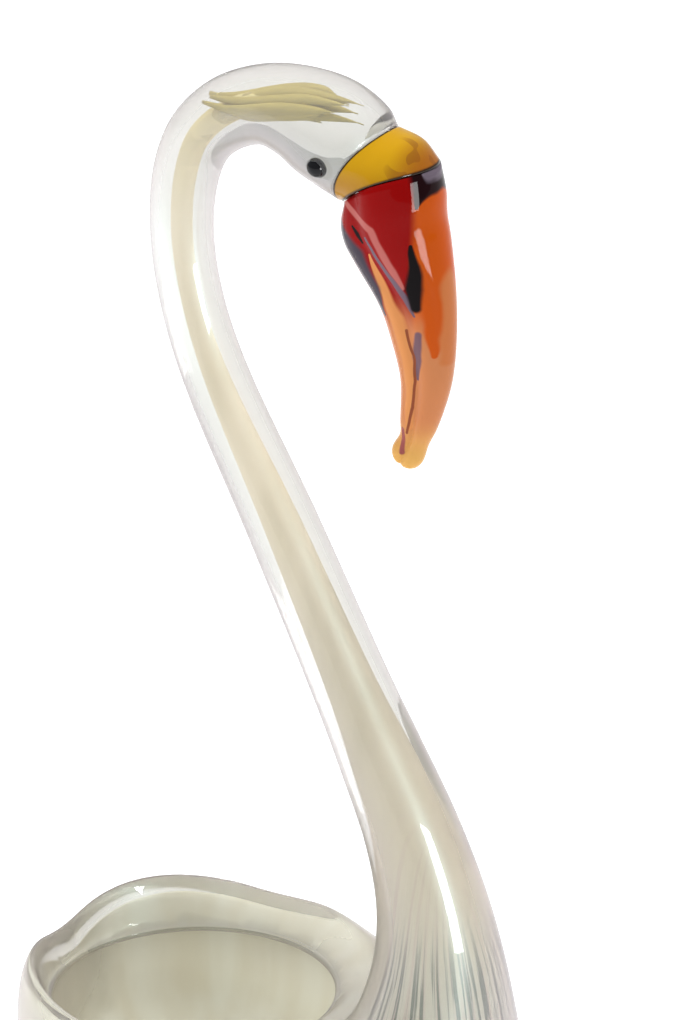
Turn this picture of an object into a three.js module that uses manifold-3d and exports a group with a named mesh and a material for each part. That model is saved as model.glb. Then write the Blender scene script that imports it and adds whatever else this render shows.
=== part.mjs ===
// Blown glass swan dish. A hollow oval bowl with an open mouth in its back rises at the chest into
// a long hollow neck, which hooks over into the head. An amber glass cere and a drooping glass bill
// are set on the head, with a bead eye on each side.
// Millimetres, +Z up, +X towards the chest, +Y to the swan's left. The origin is on the flat foot.

import * as THREE from 'three';
import { mergeVertices } from 'three/addons/utils/BufferGeometryUtils.js';
import Module from 'manifold-3d';

const wasm = await Module();
wasm.setup();

// Driving dimensions
const HEIGHT = 319; // foot to the crown of the head
const WALL = 3.2; // blown wall of the bowl
const FLOOR = 5; // glass between the hollow and the foot
const LIP = 2.4; // thickness of the rolled lip round the mouth
const LIP_WALL = 2.2; // wall where it runs into the lip
const NECK_BORE = 3.4; // bore of the slender part of the neck
const BORE_FLARE = 1.2; // growth of the bore for each millimetre that the neck grows
const BORE_TIP = 0.8; // how far the bore has narrowed, in shares, where it ends in the head
const SEAM = 0.3; // gap between two neighbouring pieces of glass
const EYE = 5.2; // diameter of an eye bead
const EYE_PROUD = 1.3; // how far an eye bead stands out of the head
const CREASE = 1.1; // depth of the mouth line along the bill

// The free form, in thousandths of the height
const SHARE = HEIGHT / 1000;

// Centre line of the head and neck: x, z, radius, from the face down to the chest
const NECK = [
  [104, 937, 36],
  [91, 947, 40],
  [67, 959, 41],
  [40, 966, 36],
  [10, 966, 31],
  [-22, 953, 29],
  [-48, 929, 27],
  [-62, 897, 26],
  [-67, 850, 25],
  [-60, 797, 25],
  [-39, 736, 26],
  [25, 616, 29],
  [91, 487, 32],
  [118, 434, 35],
  [146, 376, 39],
  [165, 318, 45],
  [172, 264, 54],
];
const SLENDER = 8; // the thinnest place of the neck in that list
const FACE_PITCH = 30; // degrees that the face leans down
const FACE_BOW = 6; // how far the sides of the face sweep back
const LEAN_SECTIONS = 3; // listed sections over which the lean of an end is taken up

// Bowl behind the chest. A power says how square an oval is: 2 is an ellipse.
const BOWL = { start: -75, tail: -208, middle: 102, top: 214, bottom: -9, half: 151 };
const CROWN_POWER = 4; // the shoulder across the bowl
const BELLY_POWER = 2.2; // the underside
const PLAN_POWER = 2.2; // the tail from above
const TAIL_POWER = 5; // the shoulder round the tail
const TAIL_TURNS = [18, 36, 52, 66, 78, 86];

// Chest: where each section meets the back line and the front line, its crown,
// and its half-width in shares of the bowl's
const CHEST = [
  { back: [106, 212], front: [236, 194], wide: 0.5, crown: 2.1 },
  { back: [93, 192], front: [238, 125], wide: 0.68, crown: 2.4 },
  { back: [62, 190], front: [211, 44], wide: 0.87, crown: 2.9 },
  { back: [20, 206], front: [143, 0], wide: 0.97, crown: 3.3 },
  { back: [-25, BOWL.top + 2], front: [38, BOWL.bottom], wide: 1, crown: CROWN_POWER },
];

// Mouth in the back: how far its lip is from the tail and from the sides of the bowl, its front end,
// and the level and forward rise of the lip
const MOUTH = { fromTail: 16, fromSide: 41, front: 56, level: 160, rise: 0.084 };
// Where the shoulder starts to roll in to the lip: how far from the tail and from the sides of the
// bowl, and how far in front of the mouth
const RIDGE = { fromTail: 7, fromSide: 10, beforeMouth: 23 };
const MOUTH_OVAL = ovalBetween(BOWL.tail + MOUTH.fromTail, MOUTH.front, BOWL.half - MOUTH.fromSide, 2);
const RIDGE_OVAL = ovalBetween(
  BOWL.tail + RIDGE.fromTail,
  MOUTH.front + RIDGE.beforeMouth,
  BOWL.half - RIDGE.fromSide,
  PLAN_POWER,
);
const ROLL_SHARES = [1, 0.8, 0.62, 0.45, 0.3, 0.15, 0]; // rings over the roll, ridge to lip
const LID_TOP = 300; // level above the bowl and below the head

// Bill: x, z, radius down its centre line
const BILL = [
  [126, 924, 40],
  [126, 907, 42],
  [128, 890, 41],
  [135, 873, 38],
  [148, 837, 30],
  [154, 804, 25],
  [156, 771, 20],
  [150, 735, 15],
  [146, 720, 12],
  [140, 706, 13],
  [137, 700, 10],
  [135, 697, 0],
];
const BILL_ROOT_PITCH = 61; // degrees that the plane of the bill's root leans down
const ROOT_BOW = 8; // how far the sides of the bill's root sweep up
const BILL_DEEP = 1.03; // depth of the bill's section, in shares of its radius
const BILL_WIDE = 0.92; // width of the bill's section, in shares of its radius
const CREASE_TURN = { root: 112, low: 85 }; // degrees from the front ridge to the mouth line
const CREASE_SPREAD = 13; // degrees that the groove spreads to each side

// Cere: how far its brow swells between the face and the bill's root
const CERE_SWELL = 6;

// Eyes: the place on the centre line, and degrees below the widest line of the head
const EYE_PLACE = 1.25;
const EYE_DROP = 18;

// Facets
const OUTER_SIDES = 30;
const INNER_SIDES = 22;
const BILL_SIDES = 22;
const STEPS = { neck: 2, bore: 1, chest: 3, bowl: 2 }; // rings from one listed section to the next
const LIP_SIDES = 8;
const LIP_STEPS = 36;
const EYE_SIDES = 12;

const degrees = THREE.MathUtils.degToRad;

function ovalBetween(back, front, width, power) {
  return { x: (back + front) / 2, length: (front - back) / 2, width, power };
}

function flat(x, z) {
  return new THREE.Vector3(x * SHARE, 0, z * SHARE);
}

// A section is an oval ring across the swan. back and front are its ends on the plane of symmetry.
function section(back, front, half, crown = 2, belly = 2, steps = STEPS.neck) {
  return { back, front, half, crown, belly, steps, bow: new THREE.Vector3() };
}

function sectionRound(centre, along, deep, wide) {
  const towardsBack = new THREE.Vector3(along.z, 0, -along.x).normalize();
  const back = centre.clone().addScaledVector(towardsBack, deep);
  const front = centre.clone().addScaledVector(towardsBack, -deep);
  return section(back, front, wide);
}

function shifted(one, along, distance) {
  const back = one.back.clone().addScaledVector(along, distance);
  const front = one.front.clone().addScaledVector(along, distance);
  return { ...one, back, front };
}

function centreLine(list) {
  const points = list.map(([x, z, radius]) => new THREE.Vector3(x, radius, z).multiplyScalar(SHARE));
  return new THREE.CatmullRomCurve3(points, false, 'centripetal');
}

function alongLine(curve, share) {
  const point = curve.getPoint(share);
  const tangent = curve.getTangent(share);
  const centre = new THREE.Vector3(point.x, 0, point.z);
  const along = new THREE.Vector3(tangent.x, 0, tangent.z).normalize();
  return { centre, along, radius: point.y };
}

// Sections square to the centre line, turning to it from the first one's own lean
function roundSections(list, firstAlong, deep, wide) {
  const curve = centreLine(list);
  return list.map((entry, index) => {
    const place = alongLine(curve, index / (list.length - 1));
    const radius = entry[2] * SHARE;
    const along = firstAlong.clone().lerp(place.along, Math.min(1, index / LEAN_SECTIONS));
    return sectionRound(place.centre, along, radius * deep, radius * wide);
  });
}

// The face plane looks forward and down; the neck is listed from the face towards the chest
const faceOut = new THREE.Vector3(Math.cos(degrees(FACE_PITCH)), 0, -Math.sin(degrees(FACE_PITCH)));
const billDown = new THREE.Vector3(Math.cos(degrees(BILL_ROOT_PITCH)), 0, -Math.sin(degrees(BILL_ROOT_PITCH)));

function neckSections() {
  const sections = roundSections(NECK, faceOut.clone().negate(), 1, 1);
  sections[0].bow.copy(faceOut).multiplyScalar(-FACE_BOW * SHARE);
  return sections;
}

function chestSections() {
  return CHEST.map(({ back, front, wide, crown }) => {
    const belly = THREE.MathUtils.mapLinear(crown, 2, CROWN_POWER, 2, BELLY_POWER);
    const half = wide * BOWL.half * SHARE;
    return section(flat(...back), flat(...front), half, crown, belly, STEPS.chest);
  });
}

// Upright sections from the middle of the bowl to the tail, drawn in by inset, down to a given floor
function bowlSections(inset, floor) {
  const middle = BOWL.middle * SHARE;
  const length = (BOWL.start - BOWL.tail) * SHARE - inset;
  const above = (BOWL.top - BOWL.middle) * SHARE - inset;
  const below = middle - floor;
  const wide = BOWL.half * SHARE - inset;
  const sections = [];
  for (const turn of [0, ...TAIL_TURNS, 90]) {
    const reach = Math.sin(degrees(turn));
    const x = BOWL.start * SHARE - length * reach;
    const back = new THREE.Vector3(x, 0, middle + above * remains(reach, TAIL_POWER));
    const front = new THREE.Vector3(x, 0, middle - below * remains(reach, BELLY_POWER));
    const half = wide * remains(reach, PLAN_POWER);
    sections.push(section(back, front, half, CROWN_POWER, BELLY_POWER, STEPS.bowl));
  }
  return sections;
}

function remains(reach, power) {
  if (reach > 0.99999) {
    return 0;
  }
  return (1 - reach ** power) ** (1 / power);
}

// The hollow inside a neck or chest section: a fine bore that flares into the bowl
function hollowOf(one, thinnest, onNeck) {
  const growth = onNeck ? Math.max(0, one.half - thinnest) : 0;
  const half = Math.min(one.half - WALL, NECK_BORE / 2 + BORE_FLARE * growth);
  const inset = one.half - half;
  const down = one.front.clone().sub(one.back).normalize();
  const underside = Math.max(0, -down.z) ** 4;
  const floorDepth = FLOOR - BOWL.bottom * SHARE;
  const frontInset = inset + (floorDepth - inset) * (onNeck ? underside : 0);
  const back = one.back.clone().addScaledVector(down, inset);
  const front = one.front.clone().addScaledVector(down, -frontInset);
  const steps = Math.max(STEPS.bore, one.steps - 1);
  return section(back, front, half, one.crown, one.belly, steps);
}

function outerSections() {
  return [...neckSections(), ...chestSections(), ...bowlSections(0, BOWL.bottom * SHARE)];
}

function innerSections() {
  const neck = neckSections();
  const thinnest = neck[SLENDER].half;
  const fine = neck.slice(3, SLENDER).map((one) => hollowOf(one, thinnest, false));
  const tip = neck[2];
  const middle = tip.back.clone().lerp(tip.front, 0.5);
  const flaring = [...neck.slice(SLENDER), ...chestSections()].map((one) => hollowOf(one, thinnest, true));
  fine[0].half *= BORE_TIP;
  return [section(middle, middle, 0), ...fine, ...flaring, ...bowlSections(WALL, FLOOR)];
}

// Sections between the listed ones, on smooth lines through their ends
function between(sections) {
  const backs = sections.map((one) => new THREE.Vector3(one.back.x, one.half, one.back.z));
  const fronts = sections.map((one) => new THREE.Vector3(one.front.x, one.half, one.front.z));
  const backLine = new THREE.CatmullRomCurve3(backs, false, 'centripetal');
  const frontLine = new THREE.CatmullRomCurve3(fronts, false, 'centripetal');
  const spans = sections.length - 1;
  const fine = [sections[0]];
  for (let low = 0; low < spans; low += 1) {
    const [here, next] = [sections[low], sections[low + 1]];
    for (let step = 1; step <= here.steps; step += 1) {
      const share = step / here.steps;
      const back = backLine.getPoint((low + share) / spans);
      const front = frontLine.getPoint((low + share) / spans);
      const half = (back.y + front.y) / 2;
      const crown = THREE.MathUtils.lerp(here.crown, next.crown, share);
      const belly = THREE.MathUtils.lerp(here.belly, next.belly, share);
      const middle = section(back.setY(0), front.setY(0), half, crown, belly);
      middle.bow.lerpVectors(here.bow, next.bow, share);
      fine.push(middle);
    }
  }
  return fine;
}

function rounded(value, power) {
  return Math.sign(value) * Math.abs(value) ** (2 / power);
}

// Points round a section, starting at its front. shrink gives how far each one is drawn in.
function ringOf(one, sides, shrink) {
  const middle = one.back.clone().lerp(one.front, 0.5);
  const reach = one.front.clone().sub(middle);
  const points = [];
  for (let side = 0; side < sides; side += 1) {
    const turn = (2 * Math.PI * side) / sides;
    const scale = 1 - shrink(turn, one);
    const power = Math.cos(turn) < 0 ? one.crown : one.belly;
    const point = middle.clone().addScaledVector(reach, rounded(Math.cos(turn), power) * scale);
    point.y = one.half * rounded(Math.sin(turn), power) * scale;
    point.addScaledVector(one.bow, Math.sin(turn) ** 2);
    points.push(point);
  }
  return points;
}

// A closed skin through rings of the same count; an end is a flat cap, or a point where it closes
function skin(rings, closedLoop = false) {
  const sides = rings[0].length;
  const positions = [];
  const indices = [];
  for (const ring of rings) {
    for (const point of ring) {
      positions.push(point.x, point.y, point.z);
    }
  }
  const spans = closedLoop ? rings.length : rings.length - 1;
  for (let span = 0; span < spans; span += 1) {
    for (let side = 0; side < sides; side += 1) {
      const next = (side + 1) % sides;
      const here = span * sides;
      const there = ((span + 1) % rings.length) * sides;
      indices.push(here + side, there + side, there + next);
      indices.push(here + side, there + next, here + next);
    }
  }
  if (!closedLoop) {
    addCap(rings[0], 0, false);
    addCap(rings[rings.length - 1], (rings.length - 1) * sides, true);
  }
  function addCap(ring, start, last) {
    const centre = new THREE.Vector3();
    ring.forEach((point) => centre.addScaledVector(point, 1 / sides));
    const hub = positions.length / 3;
    positions.push(centre.x, centre.y, centre.z);
    for (let side = 0; side < sides; side += 1) {
      const next = start + ((side + 1) % sides);
      const here = start + side;
      indices.push(hub, last ? next : here, last ? here : next);
    }
  }
  const geometry = new THREE.BufferGeometry();
  geometry.setAttribute('position', new THREE.Float32BufferAttribute(positions, 3));
  geometry.setIndex(indices);
  return geometry;
}

function bareMesh(geometry) {
  const bare = geometry.clone();
  bare.deleteAttribute('normal');
  bare.deleteAttribute('uv');
  const merged = mergeVertices(bare, 1e-4);
  const index = merged.index.array;
  const kept = [];
  for (let corner = 0; corner < index.length; corner += 3) {
    const [a, b, c] = [index[corner], index[corner + 1], index[corner + 2]];
    if (a !== b && b !== c && c !== a) {
      kept.push(a, b, c);
    }
  }
  merged.setIndex(kept);
  return merged;
}

function solidOf(geometry) {
  const bare = bareMesh(geometry);
  const vertProperties = Float32Array.from(bare.attributes.position.array);
  const triVerts = Uint32Array.from(bare.index.array);
  return new wasm.Manifold(new wasm.Mesh({ numProp: 3, vertProperties, triVerts }));
}

function geometryOf(solid) {
  const mesh = solid.getMesh();
  const geometry = new THREE.BufferGeometry();
  geometry.setAttribute('position', new THREE.Float32BufferAttribute(mesh.vertProperties, 3));
  geometry.setIndex(Array.from(mesh.triVerts));
  return geometry;
}

function lipLevel(x) {
  return MOUTH.level * SHARE + MOUTH.rise * (x - MOUTH_OVAL.x * SHARE);
}

// A point of an oval in plan, with the oval widened by grow
function onOval(oval, grow, turn) {
  const x = oval.x * SHARE + (oval.length * SHARE + grow) * rounded(Math.cos(turn), oval.power);
  const y = (oval.width * SHARE + grow) * rounded(Math.sin(turn), oval.power);
  return new THREE.Vector3(x, y, 0);
}

// 1 on an oval that is widened by grow, less inside it
function ovalReach(oval, grow, point) {
  const x = Math.abs(point.x - oval.x * SHARE) / (oval.length * SHARE + grow);
  const y = Math.abs(point.y) / (oval.width * SHARE + grow);
  return (x ** oval.power + y ** oval.power) ** (1 / oval.power);
}

// Height of the dome under a point of the lid, or the height given where the dome has ended
function domeHeight(dome, point, otherwise) {
  const start = new THREE.Vector3(point.x, point.y, LID_TOP * SHARE);
  const hits = new THREE.Raycaster(start, new THREE.Vector3(0, 0, -1)).intersectObject(dome);
  return hits.length > 0 ? hits[0].point.z : otherwise;
}

// Rings over the roll of the shoulder, from the ridge to the outer edge of the lip
function rollRings(dome) {
  return ROLL_SHARES.map((share) => {
    const ring = [];
    for (let step = 0; step < LIP_STEPS; step += 1) {
      const turn = (2 * Math.PI * step) / LIP_STEPS;
      const point = onOval(MOUTH_OVAL, LIP, turn).lerp(onOval(RIDGE_OVAL, 0, turn), share);
      const outside = Math.max(0, ovalReach(MOUTH_OVAL, LIP, point) - 1);
      const inside = Math.max(0, 1 - ovalReach(RIDGE_OVAL, 0, point));
      const across = outside / (outside + inside);
      const level = lipLevel(point.x);
      point.z = level + (domeHeight(dome, point, level) - level) * across * (2 - across);
      ring.push(point);
    }
    return ring;
  });
}

// The same rings moved square to their surface, into the glass
function sunk(rings, depth) {
  return rings.map((ring, row) => ring.map((point, step) => {
    const outer = rings[Math.max(0, row - 1)][step];
    const inner = rings[Math.min(rings.length - 1, row + 1)][step];
    const next = ring[(step + 1) % ring.length];
    const last = ring[(step + ring.length - 1) % ring.length];
    const outwards = outer.clone().sub(inner);
    const normal = outwards.cross(next.clone().sub(last)).normalize();
    return point.clone().addScaledVector(normal, -depth(row / (rings.length - 1)));
  }));
}

// All that is cut away above the roll. Past the ridge its underside lifts clear of the dome.
function lidOver(rings, dome) {
  const clear = rings[0].map((point, step) => {
    const turn = (2 * Math.PI * step) / LIP_STEPS;
    const past = onOval(RIDGE_OVAL, WALL, turn);
    past.z = Math.max(point.z, domeHeight(dome, past, point.z)) + WALL / 2;
    return past;
  });
  const top = clear.map((point) => point.clone().setZ(LID_TOP * SHARE));
  return solidOf(skin([top, clear, ...rings]));
}

function skinRings(sections, sides) {
  return between(sections).map((one) => ringOf(one, sides, () => 0));
}

function mouthCutter() {
  const high = lipLevel(BOWL.top * SHARE) + LIP;
  const low = lipLevel(BOWL.tail * SHARE) - LIP - WALL;
  const rim = [];
  for (let step = 0; step < LIP_STEPS; step += 1) {
    rim.push(onOval(MOUTH_OVAL, LIP / 2, (2 * Math.PI * step) / LIP_STEPS));
  }
  const rings = [high, low].map((z) => rim.map((point) => point.clone().setZ(z)));
  return solidOf(skin(rings));
}

function lipRoll() {
  const rings = [];
  for (let step = 0; step < LIP_STEPS; step += 1) {
    const turn = (2 * Math.PI * step) / LIP_STEPS;
    const ring = [];
    for (let side = 0; side < LIP_SIDES; side += 1) {
      const roll = (2 * Math.PI * side) / LIP_SIDES;
      const grow = (LIP / 2) * (1 + Math.cos(roll));
      const point = onOval(MOUTH_OVAL, grow, turn);
      ring.push(point.setZ(lipLevel(point.x) - LIP_WALL / 2 + (LIP / 2) * Math.sin(roll)));
    }
    rings.push(ring);
  }
  return solidOf(skin(rings, true));
}

function footCutter() {
  const wide = HEIGHT;
  const block = new THREE.BoxGeometry(wide, wide, wide);
  block.translate(0, 0, -wide / 2);
  return solidOf(block);
}

function eyePlace(sideways) {
  const { centre, along, radius } = alongLine(centreLine(NECK), EYE_PLACE / (NECK.length - 1));
  const down = new THREE.Vector3(-along.z, 0, along.x);
  const out = new THREE.Vector3(0, sideways * Math.cos(degrees(EYE_DROP)), 0);
  out.addScaledVector(down, Math.sin(degrees(EYE_DROP)));
  return centre.addScaledVector(out, radius + EYE_PROUD - EYE / 2);
}

function bead(diameter) {
  return new THREE.SphereGeometry(diameter / 2, EYE_SIDES, EYE_SIDES * 0.75);
}

function eyeSocket(sideways) {
  const place = eyePlace(sideways);
  const hole = bead(EYE + 2 * SEAM);
  hole.translate(place.x, place.y, place.z);
  return solidOf(hole);
}

function swanBody() {
  const outer = skin(skinRings(outerSections(), OUTER_SIDES));
  const dome = new THREE.Mesh(outer, new THREE.MeshBasicMaterial({ side: THREE.DoubleSide }));
  const roll = rollRings(dome);
  const wallDepth = (share) => THREE.MathUtils.lerp(WALL, LIP_WALL, share);
  const hollow = solidOf(skin(skinRings(innerSections(), INNER_SIDES)));
  let body = solidOf(outer).subtract(lidOver(roll, dome));
  body = body.subtract(hollow.subtract(lidOver(sunk(roll, wallDepth), dome)));
  body = body.subtract(mouthCutter()).add(lipRoll());
  body = body.subtract(footCutter());
  body = body.subtract(eyeSocket(1)).subtract(eyeSocket(-1));
  return geometryOf(body);
}

// Sections of the bill from its root to its tip. Its front ridge is the front of each section.
function billSections() {
  const sections = roundSections(BILL, billDown, BILL_DEEP, BILL_WIDE);
  sections[0].bow.copy(billDown).multiplyScalar(-ROOT_BOW * SHARE);
  return sections;
}

// The mouth line is a groove down each side of the bill
function billShrink(turn, one) {
  const root = BILL[0][1] * SHARE;
  const tip = BILL[BILL.length - 1][1] * SHARE;
  const height = one.back.clone().lerp(one.front, 0.5).z;
  const down = (root - height) / (root - tip);
  const lineTurn = THREE.MathUtils.lerp(CREASE_TURN.root, CREASE_TURN.low, Math.min(1, down * 2));
  const fromFront = THREE.MathUtils.radToDeg(Math.min(turn, 2 * Math.PI - turn));
  const away = (fromFront - lineTurn) / CREASE_SPREAD;
  const depth = Math.min(CREASE, one.half / 4);
  return (depth / Math.max(one.half, depth)) * Math.exp(-away * away);
}

function bill() {
  const rings = between(billSections()).map((one) => ringOf(one, BILL_SIDES, billShrink));
  return geometryOf(solidOf(skin(rings)));
}

// The cere fills the wedge between the face and the bill's root, a seam away from both
function cere() {
  const face = neckSections()[0];
  const turned = { ...face, back: face.front, front: face.back };
  const first = shifted(turned, faceOut, SEAM);
  const last = shifted(billSections()[0], billDown, -SEAM);
  const back = first.back.clone().lerp(last.back, 0.5);
  const front = first.front.clone().lerp(last.front, 0.5);
  const brow = front.clone().sub(back).normalize();
  front.addScaledVector(brow, CERE_SWELL * SHARE);
  const middle = section(back, front, (first.half + last.half) / 2);
  middle.bow.lerpVectors(first.bow, last.bow, 0.5);
  const rings = between([first, middle, last]).map((one) => ringOf(one, BILL_SIDES, () => 0));
  return geometryOf(solidOf(skin(rings)));
}

function eye(sideways) {
  const geometry = bead(EYE);
  const place = eyePlace(sideways);
  geometry.translate(place.x, place.y, place.z);
  return bareMesh(geometry);
}

const group = new THREE.Group();

function addPiece(name, geometry, look) {
  const mesh = new THREE.Mesh(geometry, new THREE.MeshStandardMaterial(look));
  mesh.name = name;
  group.add(mesh);
}

addPiece('swan_body', swanBody(), { color: 0xdcd8c8, roughness: 0.05, metalness: 0 });
addPiece('cere', cere(), { color: 0xd7a514, roughness: 0.06, metalness: 0 });
addPiece('bill', bill(), { color: 0xb43c14, roughness: 0.06, metalness: 0 });
addPiece('eye_left', eye(1), { color: 0x0a0a0a, roughness: 0.1, metalness: 0 });
addPiece('eye_right', eye(-1), { color: 0x0a0a0a, roughness: 0.1, metalness: 0 });

export default group;
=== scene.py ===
# Looks of the blown glass swan dish: clear iridised glass over a cream lining, an amber cere,
# a streaked red bill and black bead eyes. Metres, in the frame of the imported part.

import math

import bmesh
import bpy
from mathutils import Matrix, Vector


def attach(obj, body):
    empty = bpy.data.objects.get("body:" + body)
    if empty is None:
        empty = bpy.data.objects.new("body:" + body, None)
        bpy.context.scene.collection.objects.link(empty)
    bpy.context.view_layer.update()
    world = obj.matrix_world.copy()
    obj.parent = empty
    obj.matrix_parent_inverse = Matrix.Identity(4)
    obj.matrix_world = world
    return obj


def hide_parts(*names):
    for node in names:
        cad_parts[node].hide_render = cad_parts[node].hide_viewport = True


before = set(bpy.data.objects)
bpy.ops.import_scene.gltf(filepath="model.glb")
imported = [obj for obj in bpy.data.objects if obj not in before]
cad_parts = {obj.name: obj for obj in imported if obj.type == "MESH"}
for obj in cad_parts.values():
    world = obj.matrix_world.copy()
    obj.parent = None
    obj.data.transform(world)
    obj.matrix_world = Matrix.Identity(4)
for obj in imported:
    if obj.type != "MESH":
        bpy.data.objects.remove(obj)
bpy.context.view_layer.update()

# Driving dimensions, as in the part
HEIGHT = 0.319  # foot to the crown of the head
WALL = 0.0032
FLOOR = 0.005
LIP = 0.0024
LIP_WALL = 0.0022
NECK_BORE = 0.0018  # finer than the part's, since the cream core shows thin
BORE_FLARE = 1.2
SEAM = 0.0003
EYE = 0.0052
EYE_PROUD = 0.0013
CREASE = 0.0011
LINING = 0.0002  # thickness of the cream lining
COVER = 0.0007  # clear glass between the lining and the hollow

# The free form, in thousandths of the height; the bowl is a hair narrower than the part's, so that
# its finer skin stays inside it
SHARE = HEIGHT / 1000
NECK = [
    (104, 937, 36), (91, 947, 40), (67, 959, 41), (40, 966, 36), (10, 966, 31), (-22, 953, 29),
    (-48, 929, 27), (-62, 897, 26), (-67, 850, 25), (-60, 797, 25), (-39, 736, 26), (25, 616, 29),
    (91, 487, 32), (118, 434, 35), (146, 376, 39), (165, 318, 45), (172, 264, 54),
]
SLENDER = 8
TIP_SECTION = 2
FACE_PITCH = math.radians(30)
FACE_BOW = 6
LEAN_SECTIONS = 3
BOWL = {"start": -75, "tail": -208, "middle": 102, "top": 214, "bottom": -9, "half": 150.6}
CROWN_POWER = 4
BELLY_POWER = 2.2
PLAN_POWER = 2.2
TAIL_POWER = 5
TAIL_TURNS = [0, 18, 36, 52, 66, 78, 86, 90]
CHEST = [
    ((106, 212), (236, 194), 0.5, 2.1),
    ((93, 192), (238, 125), 0.68, 2.4),
    ((62, 190), (211, 44), 0.87, 2.9),
    ((20, 206), (143, 0), 0.97, 3.3),
    ((-25, 216), (38, -9), 1, 4),
]
MOUTH = {"x": -68, "length": 124, "width": 110, "power": 2}
RIDGE = {"x": -61, "length": 140, "width": 141, "power": PLAN_POWER}
LIP_LEVEL = 160
LIP_RISE = 0.084
OVER_BOWL = 264
BILL = [
    (126, 924, 40), (126, 907, 42), (128, 890, 41), (135, 873, 38), (148, 837, 30), (154, 804, 25),
    (156, 771, 20), (150, 735, 15), (146, 720, 12), (140, 706, 13), (137, 700, 10), (135, 697, 0),
]
BILL_ROOT_PITCH = math.radians(61)
ROOT_BOW = 8
BILL_DEEP = 1.03
BILL_WIDE = 0.92
CREASE_ROOT = 112
CREASE_LOW = 85
CREASE_SPREAD = 13
CERE_SWELL = 6
EYE_PLACE = 1.25
EYE_DROP = math.radians(18)

# Strands drawn out in the head: where each point of a strand lies, with its sway to the sides and
# its lift, in thousandths of the height, and how far strand after strand moves it along
STRANDS = 8
STRAND = 0.0013  # thickest half width
STRAND_TURN = 2.4
STRAND_POINTS = [(-14, -3, 960, 6, 3), (28, 2, 968, 10, 5), (58, 0, 970, 10, 6), (97, 0, 971, 8, 7)]
STRAND_SHORTER = 9
STRAND_GROUP = 4
STRAND_BLUNT = 0.04
STRAND_SWELL = 0.7

# Streaks of colour drawn out in the hot glass, and one painted highlight line, as (x, z, half width) in
# thousandths of the height
STROKE_SOFT = 0.35  # how much of a streak's half width its soft edge takes
STROKE_SWAY = 0.002  # how far its line wanders
BILL_STREAKS = [
    (
        (222, 146, 86),
        [(126, 878, 1), (134, 852, 4), (143, 828, 6), (150, 800, 5), (152, 770, 4), (148, 735, 3)],
    ),
    ((205, 84, 4), [(167, 915, 6), (173, 875, 9), (174, 846, 10), (172, 822, 7), (172, 800, 2)]),
    ((206, 120, 66), [(174, 890, 2), (180, 842, 4), (180, 795, 5)]),
    ((72, 64, 76), [(88, 896, 6), (112, 874, 9), (124, 850, 7), (131, 828, 2)]),
    ((228, 84, 30), [(84, 899, 2), (92, 902, 3)]),
    ((20, 4, 8), [(110, 898, 1), (115, 893, 2), (120, 887, 1)]),
    # painted highlight: a pink line down the side of the bill from the back of its root, going violet grey
    # lower down in the next streak
    ((190, 104, 98), [(100, 915, 2), (128, 900, 3), (145, 869, 3), (152, 856, 2)]),
    ((112, 92, 106), [(123, 892, 1), (140, 866, 2), (154, 847, 3), (159, 833, 1)]),
    ((8, 2, 4), [(157, 890, 1), (160, 873, 4), (160, 855, 6), (161, 840, 4)]),
    ((28, 2, 6), [(158, 945, 5), (161, 933, 5), (160, 919, 1)]),
    ((112, 100, 112), [(160, 944, 1), (165, 937, 3), (169, 930, 1)]),
    ((118, 88, 98), [(161, 817, 3), (159, 796, 4), (158, 778, 1)]),
    ((146, 78, 50), [(151, 819, 1), (156, 798, 1), (156, 776, 1), (153, 753, 1), (145, 729, 1)]),
    ((160, 86, 82), [(141, 731, 2), (141, 711, 2)]),
]

# How finely each skin is divided
BODY_SIDES = 128
BILL_SIDES = 96
LIP_ROLL_STEPS = 10
RIDGE_SMOOTHINGS = 10
RIDGE_REACH = 1.12
STRAND_SIDES = 10
STRAND_STEPS = 24
MERGE = 1e-7


def flat(x, z):
    return Vector((x * SHARE, 0, z * SHARE))


def mix(low, high, share):
    return low + (high - low) * share


# A section is an oval ring across the swan, between its ends on the plane of symmetry
class Section:
    def __init__(self, back, front, half, crown=2, belly=2, steps=5, bow=None):
        self.back = back
        self.front = front
        self.half = half
        self.crown = crown
        self.belly = belly
        self.steps = steps
        self.bow = bow or Vector()


# A point of the smooth line through the points, by the spacing of its neighbours
def along_points(points, place):
    spans = len(points) - 1
    low = min(int(place), spans - 1)
    part = place - low
    here, there = points[low], points[low + 1]
    before = points[low - 1] if low > 0 else 2 * points[0] - points[1]
    after = points[low + 2] if low + 2 <= spans else 2 * points[-1] - points[-2]
    gap_before = math.sqrt((here - before).length)
    gap = math.sqrt((there - here).length) or 1
    gap_after = math.sqrt((after - there).length) or gap
    gap_before = gap_before or gap
    leave = (here - before) / gap_before - (there - before) / (gap_before + gap) + (there - here) / gap
    arrive = (there - here) / gap - (after - here) / (gap + gap_after) + (after - there) / gap_after
    leave *= gap
    arrive *= gap
    rise = 3 * (there - here) - 2 * leave - arrive
    turn = 2 * (here - there) + leave + arrive
    return here + leave * part + rise * part**2 + turn * part**3


def centre_line(listed, place):
    points = [Vector((x, radius, z)) * SHARE for x, z, radius in listed]
    step = 0.0001 * (len(points) - 1)
    low = along_points(points, max(0, place - step))
    high = along_points(points, min(len(points) - 1, place + step))
    point = along_points(points, place)
    along = Vector((high.x - low.x, 0, high.z - low.z)).normalized()
    return Vector((point.x, 0, point.z)), along, point.y


def section_round(centre, along, deep, wide):
    towards_back = Vector((along.z, 0, -along.x)).normalized()
    return Section(centre + towards_back * deep, centre - towards_back * deep, wide)


def round_sections(listed, first_along, deep, wide):
    sections = []
    for index, (_, _, share) in enumerate(listed):
        centre, along, _ = centre_line(listed, index)
        radius = share * SHARE
        turned = first_along.lerp(along, min(1, index / LEAN_SECTIONS))
        sections.append(section_round(centre, turned, radius * deep, radius * wide))
    return sections


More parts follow.
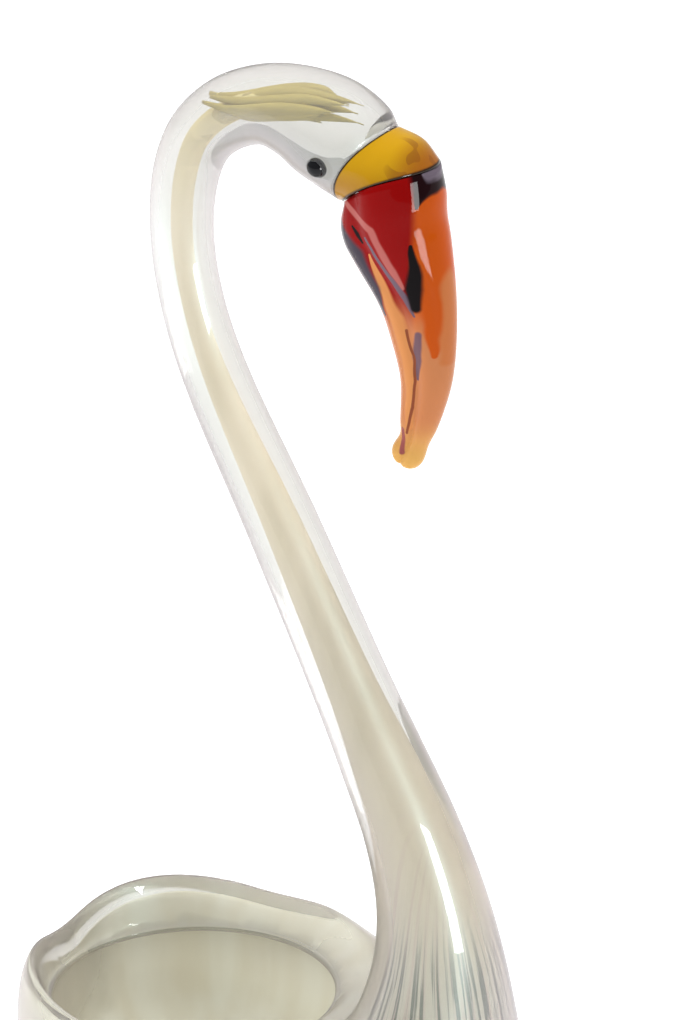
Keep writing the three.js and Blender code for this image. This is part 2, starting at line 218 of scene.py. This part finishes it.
FACE_OUT = Vector((math.cos(FACE_PITCH), 0, -math.sin(FACE_PITCH)))
BILL_DOWN = Vector((math.cos(BILL_ROOT_PITCH), 0, -math.sin(BILL_ROOT_PITCH)))


def neck_sections():
    sections = round_sections(NECK, -FACE_OUT, 1, 1)
    sections[0].bow = FACE_OUT * -FACE_BOW * SHARE
    return sections


def chest_sections():
    sections = []
    for back, front, wide, crown in CHEST:
        belly = mix(2, BELLY_POWER, (crown - 2) / (CROWN_POWER - 2))
        half = wide * BOWL["half"] * SHARE
        sections.append(Section(flat(*back), flat(*front), half, crown, belly, steps=8))
    return sections


def remains(reach, power):
    return max(0, 1 - reach**power) ** (1 / power) if reach < 0.99999 else 0


def bowl_sections(inset, floor):
    middle = BOWL["middle"] * SHARE
    length = (BOWL["start"] - BOWL["tail"]) * SHARE - inset
    above = (BOWL["top"] - BOWL["middle"]) * SHARE - inset
    below = middle - floor
    wide = BOWL["half"] * SHARE - inset
    sections = []
    for turn in TAIL_TURNS:
        reach = math.sin(math.radians(turn))
        x = BOWL["start"] * SHARE - length * reach
        back = Vector((x, 0, middle + above * remains(reach, TAIL_POWER)))
        front = Vector((x, 0, middle - below * remains(reach, BELLY_POWER)))
        half = wide * remains(reach, PLAN_POWER)
        sections.append(Section(back, front, half, CROWN_POWER, BELLY_POWER, steps=7))
    return sections


# The hollow inside a section, kept in from the outside by the wall less what the lining stands in
def hollow_of(one, thinnest, on_neck, cover):
    growth = max(0, one.half - thinnest) if on_neck else 0
    half = min(one.half - WALL, NECK_BORE / 2 + BORE_FLARE * growth) + cover
    inset = one.half - half
    down = (one.front - one.back).normalized()
    underside = max(0, -down.z) ** 4 if on_neck else 0
    floor_depth = FLOOR - cover - BOWL["bottom"] * SHARE
    front_inset = mix(inset, floor_depth, underside)
    back = one.back + down * inset
    front = one.front - down * front_inset
    return Section(back, front, half, one.crown, one.belly, one.steps)


def outer_sections():
    return neck_sections() + chest_sections() + bowl_sections(0, BOWL["bottom"] * SHARE)


def inner_sections(cover=0.0):
    neck = neck_sections()
    thinnest = neck[SLENDER].half
    fine = [hollow_of(one, thinnest, False, cover) for one in neck[TIP_SECTION + 1:SLENDER]]
    flaring = [hollow_of(one, thinnest, True, cover) for one in neck[SLENDER:] + chest_sections()]
    tip = (neck[TIP_SECTION].back + neck[TIP_SECTION].front) / 2
    return [Section(tip, tip.copy(), 0)] + fine + flaring + bowl_sections(WALL - cover, FLOOR - cover)


def between(sections, finer=1):
    backs = [Vector((one.back.x, one.half, one.back.z)) for one in sections]
    fronts = [Vector((one.front.x, one.half, one.front.z)) for one in sections]
    fine = [sections[0]]
    for low, here in enumerate(sections[:-1]):
        there = sections[low + 1]
        steps = here.steps * finer
        for step in range(1, steps + 1):
            share = step / steps
            back = along_points(backs, low + share)
            front = along_points(fronts, low + share)
            half = (back.y + front.y) / 2
            crown = mix(here.crown, there.crown, share)
            belly = mix(here.belly, there.belly, share)
            bow = here.bow.lerp(there.bow, share)
            back.y = front.y = 0
            fine.append(Section(back, front, half, crown, belly, bow=bow))
    return fine


def rounded(value, power):
    return math.copysign(abs(value) ** (2 / power), value)


def no_shrink(turn, one):
    return 0


def ring_of(one, sides, shrink=no_shrink):
    middle = (one.back + one.front) / 2
    reach = one.front - middle
    points = []
    for side in range(sides):
        turn = 2 * math.pi * side / sides
        scale = 1 - shrink(turn, one)
        power = one.crown if math.cos(turn) < 0 else one.belly
        point = middle + reach * rounded(math.cos(turn), power) * scale
        point.y = one.half * rounded(math.sin(turn), power) * scale
        points.append(point + one.bow * math.sin(turn) ** 2)
    return points


# A tube through rings of the same count: a grid is bent round, and its seam and poles are merged
def skin(rings):
    sides = len(rings[0])
    rows = len(rings) - 1
    mesh = bmesh.new()
    bmesh.ops.create_grid(mesh, x_segments=sides, y_segments=rows, size=0.5)
    for vertex in mesh.verts:
        side = round((vertex.co.x + 0.5) * sides) % sides
        row = round((vertex.co.y + 0.5) * rows)
        vertex.co = rings[row][side]
    bmesh.ops.remove_doubles(mesh, verts=mesh.verts, dist=MERGE)
    ends = [edge for edge in mesh.edges if edge.is_boundary]
    bmesh.ops.holes_fill(mesh, edges=ends, sides=0)
    bmesh.ops.recalc_face_normals(mesh, faces=mesh.faces)
    return mesh


def piece(name, mesh, material, replaces=None):
    data = bpy.data.meshes.new(name)
    mesh.to_mesh(data)
    mesh.free()
    shown = bpy.data.objects.new(name, data)
    bpy.context.scene.collection.objects.link(shown)
    data.materials.append(material)
    for face in data.polygons:
        face.use_smooth = True
    if replaces:
        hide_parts(replaces)
    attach(shown, "root")
    return shown


def lip_level(x):
    return LIP_LEVEL * SHARE + LIP_RISE * (x - MOUTH["x"] * SHARE)


def on_oval(oval, grow, turn):
    x = oval["x"] * SHARE + (oval["length"] * SHARE + grow) * rounded(math.cos(turn), oval["power"])
    y = (oval["width"] * SHARE + grow) * rounded(math.sin(turn), oval["power"])
    return Vector((x, y, 0))


def oval_reach(oval, grow, point):
    x = abs(point.x - oval["x"] * SHARE) / (oval["length"] * SHARE + grow)
    y = abs(point.y) / (oval["width"] * SHARE + grow)
    return (x ** oval["power"] + y ** oval["power"]) ** (1 / oval["power"])


def over_bowl(point):
    return BOWL["middle"] * SHARE < point.z < OVER_BOWL * SHARE


# The shoulder rolls in from its ridge and down to the level of the lip
def roll_shoulder(mesh, depth):
    for vertex in mesh.verts:
        point = vertex.co
        inside = 1 - oval_reach(RIDGE, 0, point)
        if not over_bowl(point) or inside <= 0:
            continue
        outside = max(0, oval_reach(MOUTH, LIP, point) - 1)
        across = outside / (outside + inside)
        level = lip_level(point.x) - depth
        point.z = level + (point.z - level) * across * (2 - across)
    near = [v for v in mesh.verts if over_bowl(v.co) and oval_reach(RIDGE, 0, v.co) < RIDGE_REACH]
    for _ in range(RIDGE_SMOOTHINGS):
        bmesh.ops.smooth_vert(
            mesh, verts=near, factor=0.5, use_axis_x=True, use_axis_y=True, use_axis_z=True,
        )


# The mouth is cut out, and the cut edge is drawn to the oval of the lip
def open_mouth(mesh, depth):
    grow = LIP / 2
    inside = [
        face for face in mesh.faces
        if all(over_bowl(v.co) and oval_reach(MOUTH, grow, v.co) < 1 for v in face.verts)
    ]
    bmesh.ops.delete(mesh, geom=inside, context="FACES")
    rim = {vertex for edge in mesh.edges if edge.is_boundary for vertex in edge.verts}
    for vertex in rim:
        turn = mouth_turn(vertex.co)
        point = on_oval(MOUTH, grow, turn)
        vertex.co = Vector((point.x, point.y, lip_level(point.x) - depth))
    near = [v for v in mesh.verts if v not in rim and over_bowl(v.co) and oval_reach(RIDGE, 0, v.co) < 0.97]
    for _ in range(6):
        bmesh.ops.smooth_vert(mesh, verts=near, factor=0.4, use_axis_x=True, use_axis_y=True)
    return [edge for edge in mesh.edges if edge.is_boundary]


def mouth_turn(point):
    x = (point.x - MOUTH["x"] * SHARE) / MOUTH["length"]
    return math.atan2(point.y / MOUTH["width"], x)


# The lip: the cut edge of the outside is drawn round a bead and joined to the inside
def roll_lip(mesh, edges):
    for step in range(1, LIP_ROLL_STEPS + 1):
        made = bmesh.ops.extrude_edge_only(mesh, edges=edges)["geom"]
        edges = [item for item in made if isinstance(item, bmesh.types.BMEdge) and item.is_boundary]
        angle = math.pi / 2 + math.pi * step / (LIP_ROLL_STEPS + 1)
        for vertex in {vertex for edge in edges for vertex in edge.verts}:
            turn = mouth_turn(vertex.co)
            point = on_oval(MOUTH, LIP / 2 * (1 + math.cos(angle)), turn)
            middle = lip_level(point.x) - LIP_WALL / 2
            vertex.co = Vector((point.x, point.y, middle + LIP / 2 * math.sin(angle)))


def body_glass():
    mesh = skin([ring_of(one, BODY_SIDES) for one in between(outer_sections())])
    roll_shoulder(mesh, 0)
    roll_lip(mesh, open_mouth(mesh, LIP_WALL / 2 - LIP / 2))
    inner = skin([ring_of(one, BODY_SIDES // 2) for one in between(inner_sections())])
    roll_shoulder(inner, LIP_WALL)
    open_mouth(inner, LIP_WALL / 2 + LIP / 2)
    bmesh.ops.reverse_faces(inner, faces=inner.faces)
    data = bpy.data.meshes.new("hollow")
    inner.to_mesh(data)
    inner.free()
    mesh.from_mesh(data)
    bpy.data.meshes.remove(data)
    rims = [edge for edge in mesh.edges if edge.is_boundary]
    bmesh.ops.bridge_loops(mesh, edges=rims)
    flatten_foot(mesh)
    bmesh.ops.recalc_face_normals(mesh, faces=mesh.faces)
    return mesh


def flatten_foot(mesh):
    for vertex in mesh.verts:
        vertex.co.z = max(vertex.co.z, 0)


def body_lining():
    cover = COVER + LINING
    mesh = skin([ring_of(one, BODY_SIDES // 2) for one in between(inner_sections(cover))])
    roll_shoulder(mesh, LIP_WALL - cover)
    open_mouth(mesh, LIP_WALL / 2)
    bmesh.ops.recalc_face_normals(mesh, faces=mesh.faces)
    return mesh


def upright(side):
    turn = 2 * math.pi * side / STRAND_SIDES
    return Vector((0, math.cos(turn), math.sin(turn)))


# Strands of the lining's colour, drawn out in the solid glass of the head
def strand_mesh():
    joined = bmesh.new()
    for index in range(STRANDS):
        turn = STRAND_TURN * index
        line = [
            Vector((x + shift * index, sway * math.sin(turn), z + lift * math.cos(turn)))
            for x, shift, z, sway, lift in STRAND_POINTS
        ]
        line[-1].x -= STRAND_SHORTER * (index % STRAND_GROUP)
        rings = []
        for step in range(STRAND_STEPS + 1):
            share = step / STRAND_STEPS
            centre = along_points(line, share * (len(line) - 1)) * SHARE
            radius = STRAND * math.sin(math.pi * min(share + STRAND_BLUNT, 0.99)) ** STRAND_SWELL
            rings.append([centre + upright(side) * radius for side in range(STRAND_SIDES)])
        one = skin(rings)
        data = bpy.data.meshes.new("strand")
        one.to_mesh(data)
        one.free()
        joined.from_mesh(data)
        bpy.data.meshes.remove(data)
    return joined


def bill_sections():
    sections = round_sections(BILL, BILL_DOWN, BILL_DEEP, BILL_WIDE)
    sections[0].bow = BILL_DOWN * -ROOT_BOW * SHARE
    return sections


def bill_shrink(turn, one):
    root = BILL[0][1] * SHARE
    tip = BILL[-1][1] * SHARE
    height = (one.back.z + one.front.z) / 2
    line_turn = mix(CREASE_ROOT, CREASE_LOW, min(1, 2 * (root - height) / (root - tip)))
    from_front = math.degrees(min(turn, 2 * math.pi - turn))
    away = (from_front - line_turn) / CREASE_SPREAD
    depth = min(CREASE, one.half / 4)
    return depth / max(one.half, depth) * math.exp(-away * away)


def bill_mesh():
    return skin([ring_of(one, BILL_SIDES, bill_shrink) for one in between(bill_sections())])


def shifted(one, along, distance):
    return Section(one.back + along * distance, one.front + along * distance, one.half, bow=one.bow)


def cere_sections():
    face = neck_sections()[0]
    turned = Section(face.front, face.back, face.half, bow=face.bow)
    first = shifted(turned, FACE_OUT, SEAM)
    last = shifted(bill_sections()[0], BILL_DOWN, -SEAM)
    back = (first.back + last.back) / 2
    front = (first.front + last.front) / 2
    front += (front - back).normalized() * CERE_SWELL * SHARE
    middle = Section(back, front, (first.half + last.half) / 2, bow=first.bow.lerp(last.bow, 0.5))
    return [first, middle, last]


def cere_mesh():
    return skin([ring_of(one, BILL_SIDES) for one in between(cere_sections(), finer=2)])


def eye_mesh(sideways):
    centre, along, radius = centre_line(NECK, EYE_PLACE)
    down = Vector((-along.z, 0, along.x))
    out = Vector((0, sideways * math.cos(EYE_DROP), 0)) + down * math.sin(EYE_DROP)
    mesh = bmesh.new()
    bmesh.ops.create_uvsphere(mesh, u_segments=32, v_segments=20, radius=EYE / 2)
    bmesh.ops.translate(mesh, verts=mesh.verts, vec=centre + out * (radius + EYE_PROUD - EYE / 2))
    return mesh


# Shader numbers that can be added and multiplied
class Amount:
    def __init__(self, finish, socket):
        self.finish = finish
        self.socket = socket

    def sum(self, operation, *others, clamp=False):
        values = dict(enumerate((self,) + others))
        return self.finish.node("ShaderNodeMath", {"operation": operation, "use_clamp": clamp}, values)

    def __add__(self, other):
        return self.sum("ADD", other)

    def __sub__(self, other):
        return self.sum("SUBTRACT", other)

    def __mul__(self, other):
        return self.sum("MULTIPLY", other)

    def __truediv__(self, other):
        return self.sum("DIVIDE", other)

    def __rsub__(self, other):
        return (self * -1) + other

    __radd__ = __add__
    __rmul__ = __mul__

    # 0 below low, 1 above high, and smooth between them
    def step(self, low, high):
        settings = {"interpolation_type": "SMOOTHSTEP", "clamp": True}
        values = {0: self, 1: low, 2: high, 3: 0, 4: 1}
        return self.finish.node("ShaderNodeMapRange", settings, values)



# The sockets of a mix of colours
MIX_AMOUNT = 0
MIX_LOW = 6
MIX_HIGH = 7
MIX_RESULT = 2


class Finish:
    def __init__(self, name, **constants):
        self.material = bpy.data.materials.new(name)
        self.material.use_nodes = True
        self.tree = self.material.node_tree
        self.surface = self.tree.nodes["Principled BSDF"]
        for socket, value in constants.items():
            self.surface.inputs[socket.replace("_", " ")].default_value = value
        self.place = self.node("ShaderNodeTexCoord", output="Object")
        self.x, self.y, self.z = (
            self.node("ShaderNodeSeparateXYZ", values={0: self.place}, output=axis) for axis in "XYZ"
        )

    def node(self, kind, settings=None, values=None, output=0):
        made = self.tree.nodes.new(kind)
        for key, value in (settings or {}).items():
            setattr(made, key, value)
        for key, value in (values or {}).items():
            if isinstance(value, Amount):
                self.tree.links.new(value.socket, made.inputs[key])
            else:
                made.inputs[key].default_value = value
        return Amount(self, made.outputs[output])

    def noise(self, scale, stretch=(1, 1, 1), detail=3.0, distortion=0.0):
        values = {"Vector": self.place, "Scale": stretch}
        stretched = self.node("ShaderNodeMapping", {}, values)
        values = {"Vector": stretched, "Scale": scale, "Detail": detail, "Distortion": distortion}
        return self.node("ShaderNodeTexNoise", {}, values, "Fac")

    # Upright streaks round an upright line at x
    def streaks(self, x, count, detail):
        turn = self.y.sum("ARCTAN2", self.x - x)
        place = self.node("ShaderNodeCombineXYZ", {}, {"X": turn, "Y": self.z * 1.2})
        values = {"Vector": place, "Scale": count, "Detail": detail}
        return self.node("ShaderNodeTexNoise", {}, values, "Fac")

    def blend(self, amount, low, high):
        values = {MIX_AMOUNT: amount, MIX_LOW: low, MIX_HIGH: high}
        return self.node("ShaderNodeMix", {"data_type": "RGBA"}, values, MIX_RESULT)

    # 1 along a line through points (x, z, half its width) of the plane of symmetry, 0 beside it
    def stroke(self, points):
        covered = None
        sway = (self.noise(120, detail=1) - 0.5) * STROKE_SWAY
        for start, end in zip(points, points[1:]):
            run = flat(*end[:2]) - flat(*start[:2])
            across = self.x + sway - start[0] * SHARE
            up = self.z - start[1] * SHARE
            along = (across * run.x + up * run.z) / run.length_squared
            share = along.sum("MULTIPLY", 1, clamp=True)
            aside = across - share * run.x
            above = up - share * run.z
            distance = (aside * aside + above * above).sum("SQRT")
            half = share * ((end[2] - start[2]) * SHARE) + start[2] * SHARE
            here = 1 - (distance / half).step(1 - STROKE_SOFT, 1 + STROKE_SOFT)
            covered = covered.sum("MAXIMUM", here) if covered else here
        return covered

    def paint(self, socket, amount):
        self.tree.links.new(amount.socket, self.surface.inputs[socket])



# How much of the film shows face on, how much more at the edges, how strongly the lining in the bowl
# gives off painted light of its own, and where the upright line of the chest stands
FILM_FACING = 0.28
FILM_EDGE = 0.5
LINING_PAINTED_LIGHT = 0.6
CHEST_AXIS = 0.053


# A screen colour as a linear one
def tint(red, green, blue):
    values = (red / 255, green / 255, blue / 255)
    return tuple(v / 12.92 if v < 0.04 else ((v + 0.055) / 1.055) ** 2.4 for v in values) + (1,)


# Clear glass under a pearly film, which shows most where the surface turns away and leaves the
# eyes free
def clear_finish():
    finish = Finish(
        "clear_iridised_glass", Base_Color=tint(237, 235, 230), Roughness=0.02, IOR=1.45,
        Transmission_Weight=1.0,
    )
    pearl = {"Roughness": 0.35, "Metallic": 0.15, "Thin Film Thickness": 370.0, "Thin Film IOR": 1.7}
    film = finish.node("ShaderNodeBsdfPrincipled", {}, pearl)
    away = finish.node("ShaderNodeLayerWeight", {}, {"Blend": 0.5}, "Facing")
    # Painted shade: the film's colour darkens where the surface turns away, standing in for dark lines
    # along the outline
    facing_tint = tint(206, 202, 195)
    painted_edge_shade = tint(150, 147, 141)
    colour = finish.blend(away * away * away, facing_tint, painted_edge_shade)
    finish.tree.links.new(colour.socket, film.socket.node.inputs["Base Color"])
    eye = centre_line(NECK, EYE_PLACE)[0]
    aside = finish.x - eye.x
    above = finish.z - (eye.z - EYE / 2)
    by_eye = 1 - (aside * aside + above * above).sum("SQRT").step(EYE * 0.55, EYE * 0.65)
    amount = (FILM_FACING + away * away * FILM_EDGE) * (1 - by_eye)
    clear = Amount(finish, finish.surface.outputs[0])
    both = finish.node("ShaderNodeMixShader", {}, {0: amount, 1: clear, 2: film})
    finish.tree.links.new(both.socket, finish.tree.nodes["Material Output"].inputs["Surface"])
    return finish.material


# The lining is cream, pinker and streaked with grey-green in the chest and olive in the head, where
# it frays into strands; at the tail end of the bowl it is darkened olive as painted shade under the rim
def cream_finish():
    finish = Finish("cream_lining", Roughness=0.6, Emission_Strength=LINING_PAINTED_LIGHT)
    base = finish.blend(finish.z.step(0.06, 0.12), tint(222, 221, 206), tint(232, 220, 195))
    base = finish.blend(finish.z.step(0.27, 0.31), base, tint(204, 190, 132))
    cloudy = finish.noise(90, (1, 1, 0.06), detail=4).step(0.35, 0.7)
    base = finish.blend(cloudy * 0.35, base, tint(196, 184, 150))
    chest = finish.x.step(0.032, 0.046) * (1 - finish.z.step(0.09, 0.14))
    pink = finish.streaks(CHEST_AXIS, 9, 3).step(0.5, 0.62)
    base = finish.blend(pink * chest * 0.7, base, tint(214, 190, 176))
    green = finish.streaks(CHEST_AXIS, 16, 4).step(0.5, 0.58)
    low = 1 - finish.z.step(0.08, 0.105)
    base = finish.blend(green * chest * low, base, tint(104, 108, 92))
    # Painted shade: inside the tail end of the bowl the lining is darkened olive, standing in for the shade
    # under the rim
    tail = 1 - (finish.x + finish.noise(90) * 0.006).step(-0.0605, -0.056)
    base = finish.blend(tail * 0.5, base, tint(150, 142, 112))
    finish.paint("Base Color", base)
    # Painted light: the lining inside the bowl gives off light of its own, less towards the top, to
    # brighten the inside
    painted_light_in_bowl = (1 - finish.x.step(0, 0.03)) * (1 - finish.z.step(0.03, 0.055) * 0.55)
    finish.paint("Emission Color", finish.blend(painted_light_in_bowl, tint(0, 0, 0), base))
    strands = finish.noise(260, (0.12, 1, 1), detail=2, distortion=0.4).step(0.47, 0.53)
    frayed = finish.x.step(-0.022, 0.006) * finish.z.step(0.26, 0.28)
    finish.paint("Alpha", 1 - frayed * (1 - strands))
    return finish.material


# How far a point stands past a bowed joint face, along the way the face looks
def past_face(finish, listed, out, bow):
    x, z, radius = listed[0]
    start = flat(x, z).dot(out)
    curve = finish.y * finish.y * (bow / (radius * radius * SHARE))
    return finish.x * out.x + finish.z * out.z - start + curve


def amber_finish():
    finish = Finish("amber_glass", Roughness=0.04, Transmission_Weight=0.15, IOR=1.35)
    base = finish.blend(finish.z.step(0.296, 0.304), tint(188, 132, 0), tint(226, 170, 6))
    # Painted reflection: towards the bill the cere turns darker orange-brown with brown facets, standing in
    # for the far side seen through the glass and reflections in it
    base = finish.blend(finish.x.step(0.043, 0.0505), base, tint(182, 106, 12))
    painted_reflection_facets = finish.noise(240, (1, 1, 1), detail=0).step(0.5, 0.52) * finish.x.step(0.042, 0.046)
    base = finish.blend(painted_reflection_facets * 0.5, base, tint(150, 84, 14))
    head_seam = 1 - past_face(finish, NECK, FACE_OUT, FACE_BOW).step(0.0005, 0.0009)
    bill_seam = past_face(finish, BILL, BILL_DOWN, ROOT_BOW).step(-0.0014, -0.0007)
    base = finish.blend(head_seam.sum("MAXIMUM", bill_seam), base, tint(44, 24, 6))
    finish.paint("Base Color", base)
    return finish.material


def bill_finish():
    finish = Finish("red_glass", Roughness=0.03, IOR=1.2)
    base = finish.blend(finish.x.step(0.0495, 0.0515), tint(150, 0, 0), tint(206, 84, 4))
    base = finish.blend(finish.z.step(0.258, 0.272), tint(208, 132, 84), base)
    base = finish.blend(finish.z.step(0.224, 0.238), tint(226, 172, 92), base)
    for colour, points in BILL_STREAKS:
        base = finish.blend(finish.stroke(points), base, tint(*colour))
    finish.paint("Base Color", base)
    return finish.material


# The eye beads are black, and the left one is pale where it is sunk in the head
def black_finish():
    finish = Finish("black_glass", Roughness=0.08, IOR=1.35)
    outside = finish.y.step(0.0095, 0.0098).sum("MAXIMUM", (finish.y * -1).step(0, 0.001))
    finish.paint("Base Color", finish.blend(outside, tint(235, 235, 230), tint(10, 10, 14)))
    return finish.material


clear = clear_finish()
cream = cream_finish()
olive = Finish("olive_strands", Base_Color=tint(190, 174, 96), Roughness=0.6).material
amber = amber_finish()
red = bill_finish()
black = black_finish()
clear_body = piece("clear_body", body_glass(), clear, replaces="swan_body")
clear_body.visible_shadow = False  # light reaches the lining through the clear glass
lining = piece("cream_lining", body_lining(), cream)
lining.modifiers.new("thickness", "SOLIDIFY").thickness = LINING
piece("olive_strands", strand_mesh(), olive)
piece("amber_cere", cere_mesh(), amber, replaces="cere")
piece("streaked_bill", bill_mesh(), red, replaces="bill")
piece("left_eye", eye_mesh(1), black, replaces="eye_left")
piece("right_eye", eye_mesh(-1), black, replaces="eye_right")


# Floor, lights and camera
def pale_floor():
    mesh = bmesh.new()
    bmesh.ops.create_grid(mesh, x_segments=1, y_segments=1, size=6)
    data = bpy.data.meshes.new("floor")
    mesh.to_mesh(data)
    mesh.free()
    floor = bpy.data.objects.new("floor", data)
    bpy.context.scene.collection.objects.link(floor)
    finish = Finish("pale_floor", Base_Color=(0.9, 0.9, 0.9, 1), Roughness=0.9, Emission_Strength=0.6)
    finish.surface.inputs["Emission Color"].default_value = (1, 1, 1, 1)
    data.materials.append(finish.material)


def light(name, place, aim, size, power):
    data = bpy.data.lights.new(name, "AREA")
    data.shape = "RECTANGLE"
    data.size, data.size_y = size
    data.energy = power
    lamp = bpy.data.objects.new(name, data)
    lamp.location = place
    lamp.rotation_euler = (Vector(aim) - Vector(place)).to_track_quat("-Z", "Y").to_euler()
    bpy.context.scene.collection.objects.link(lamp)
    return lamp


def soft_world():
    world = bpy.data.worlds.new("studio")
    world.use_nodes = True
    background = world.node_tree.nodes["Background"]
    background.inputs["Color"].default_value = (0.92, 0.94, 0.96, 1)
    background.inputs["Strength"].default_value = 0.5
    bpy.context.scene.world = world


VIEW_AZIMUTH = math.radians(32)
VIEW_HEIGHT = math.radians(25)
VIEW_DISTANCE = 1.1
VIEW_TARGET = Vector((0.025, 0, 0.205))


def camera():
    data = bpy.data.cameras.new("camera")
    data.lens = 155.3
    data.sensor_width = 36
    eye = bpy.data.objects.new("camera", data)
    out = Vector((
        math.sin(VIEW_AZIMUTH) * math.cos(VIEW_HEIGHT),
        -math.cos(VIEW_AZIMUTH) * math.cos(VIEW_HEIGHT),
        math.sin(VIEW_HEIGHT),
    ))
    eye.location = VIEW_TARGET + out * VIEW_DISTANCE
    eye.rotation_euler = (-out).to_track_quat("-Z", "Y").to_euler()
    bpy.context.scene.collection.objects.link(eye)
    bpy.context.scene.camera = eye


pale_floor()
soft_world()
strip = light("strip_softbox", (1.1, -0.38, 0.22), (0, 0, 0.2), (0.34, 0.38), 10)
strip.visible_diffuse = False  # it only makes the sharp reflections
for name, place, power in (("left_softbox", (-0.9, -0.7, 0.8), 5), ("top_softbox", (0.1, 0.3, 1.3), 9)):
    light(name, place, (0, 0, 0.12), (0.7, 1.0), power).visible_glossy = False
bpy.context.scene.view_settings.view_transform = "Standard"
camera()
